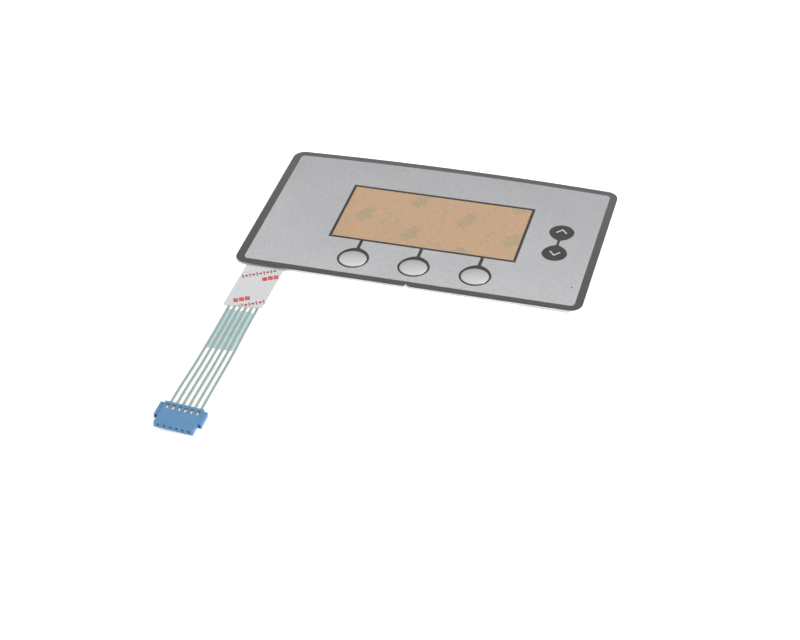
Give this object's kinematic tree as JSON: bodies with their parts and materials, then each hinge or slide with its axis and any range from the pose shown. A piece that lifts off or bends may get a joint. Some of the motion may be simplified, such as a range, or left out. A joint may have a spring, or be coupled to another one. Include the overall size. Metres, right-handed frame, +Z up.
{
  "type": "control panel overlay",
  "caption": "Flat membrane keypad overlay with a clear display window, raised round keys, two arrow keys and a flexible printed tail that ends in a pin receptacle.",
  "frame": {"origin": "centre of the panel on its underside, the back of the white release paper", "axes": "+X to the right of the face, +Y to the back edge with the arch, +Z up out of the face; the tail leaves the front edge along -Y on the left"},
  "size_m": [0.1544, 0.2013, 0.0042],
  "materials": {
    "clear_film": "clear polyester film, fine satin texture",
    "border_ink": "dark grey ink seen through the film",
    "silver_ink": "silver ink with a fine metallic speckle",
    "dark_ink": "near black ink seen through the film",
    "light_ink": "light grey ink",
    "clear_adhesive": "clear acrylic adhesive",
    "tan_paper": "smooth siliconised kraft paper",
    "green_ink": "faint green print",
    "inner_film": "milky polyester film",
    "circuit_film": "clear polyester film",
    "pale_blue_coat": "pale insulating coat",
    "white_paper": "smooth siliconised paper",
    "red_ink": "red print",
    "blue_plastic": "moulded, slightly glossy",
    "spring_steel": "bright spring steel",
    "silver_track": "printed silver, dull",
    "tinned_contact": "tin plated, bright"
  },
  "bodies": {
    "root": {"arrow_print": "dark_ink", "border_print": "border_ink", "chevron_print": "light_ink", "circuit_film": "circuit_film", "connector_housing": "blue_plastic", "contact_1": "tinned_contact", "contact_2": "tinned_contact", "contact_3": "tinned_contact", "contact_4": "tinned_contact", "contact_5": "tinned_contact", "contact_6": "tinned_contact", "dome_retainer": "inner_film", "face_print": "silver_ink", "key_print": "silver_ink", "legend_print": "dark_ink", "overlay_adhesive": "clear_adhesive", "overlay_film": "clear_film", "rear_adhesive": "clear_adhesive", "rear_liner": "white_paper", "rear_liner_marks": "red_ink", "snap_dome_1": "spring_steel", "snap_dome_2": "spring_steel", "snap_dome_3": "spring_steel", "snap_dome_4": "spring_steel", "snap_dome_5": "spring_steel", "spacer": "inner_film", "tail_adhesive": "clear_adhesive", "tail_backing": "pale_blue_coat", "tail_liner": "white_paper", "tail_liner_marks": "red_ink", "trace_1": "silver_track", "trace_2": "silver_track", "trace_3": "silver_track", "trace_4": "silver_track", "trace_5": "silver_track", "trace_6": "silver_track", "window_liner": "tan_paper", "window_liner_marks": "green_ink"}
  },
  "joints": []
}
